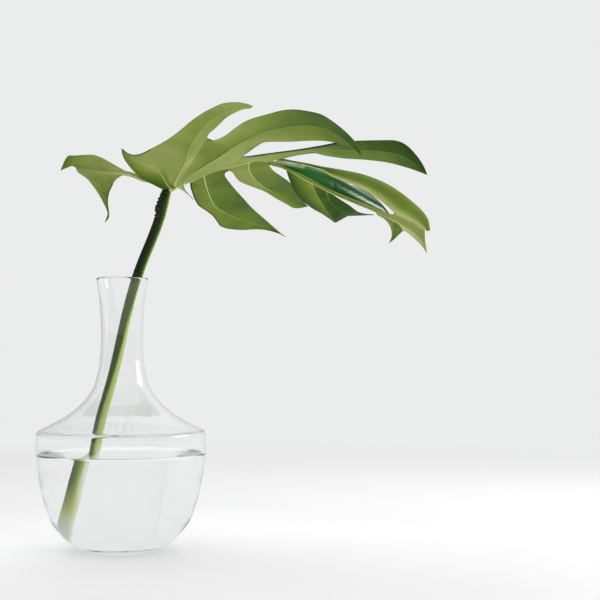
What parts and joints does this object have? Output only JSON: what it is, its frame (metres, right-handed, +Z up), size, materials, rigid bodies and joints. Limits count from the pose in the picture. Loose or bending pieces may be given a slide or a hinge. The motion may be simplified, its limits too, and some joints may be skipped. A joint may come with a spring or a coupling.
{
  "type": "monstera leaf in a glass vase",
  "caption": "Deeply cut monstera leaf on its stalk, standing in a round clear glass vase with a slim neck, part filled with water.",
  "frame": {"origin": "middle of the vase's foot, on the surface that it stands on", "axes": "+Z up; +X to the right and +Y away from the front, where the front is the side from which the blade's pale underside and its lobes are seen"},
  "size_m": [0.3465, 0.2383, 0.3752],
  "materials": {
    "clear_glass": "clear blown glass, polished, with a thick base",
    "clear_water": "clear still water",
    "green_stalk": "living plant stalk, smooth and slightly waxy, wrinkled at the top joint",
    "green_blade": "living leaf, glossy dark green above, pale satin olive below"
  },
  "bodies": {
    "root": {"vase": "clear_glass", "water": "clear_water", "petiole": "green_stalk", "leaf_blade": "green_blade"}
  },
  "joints": []
}
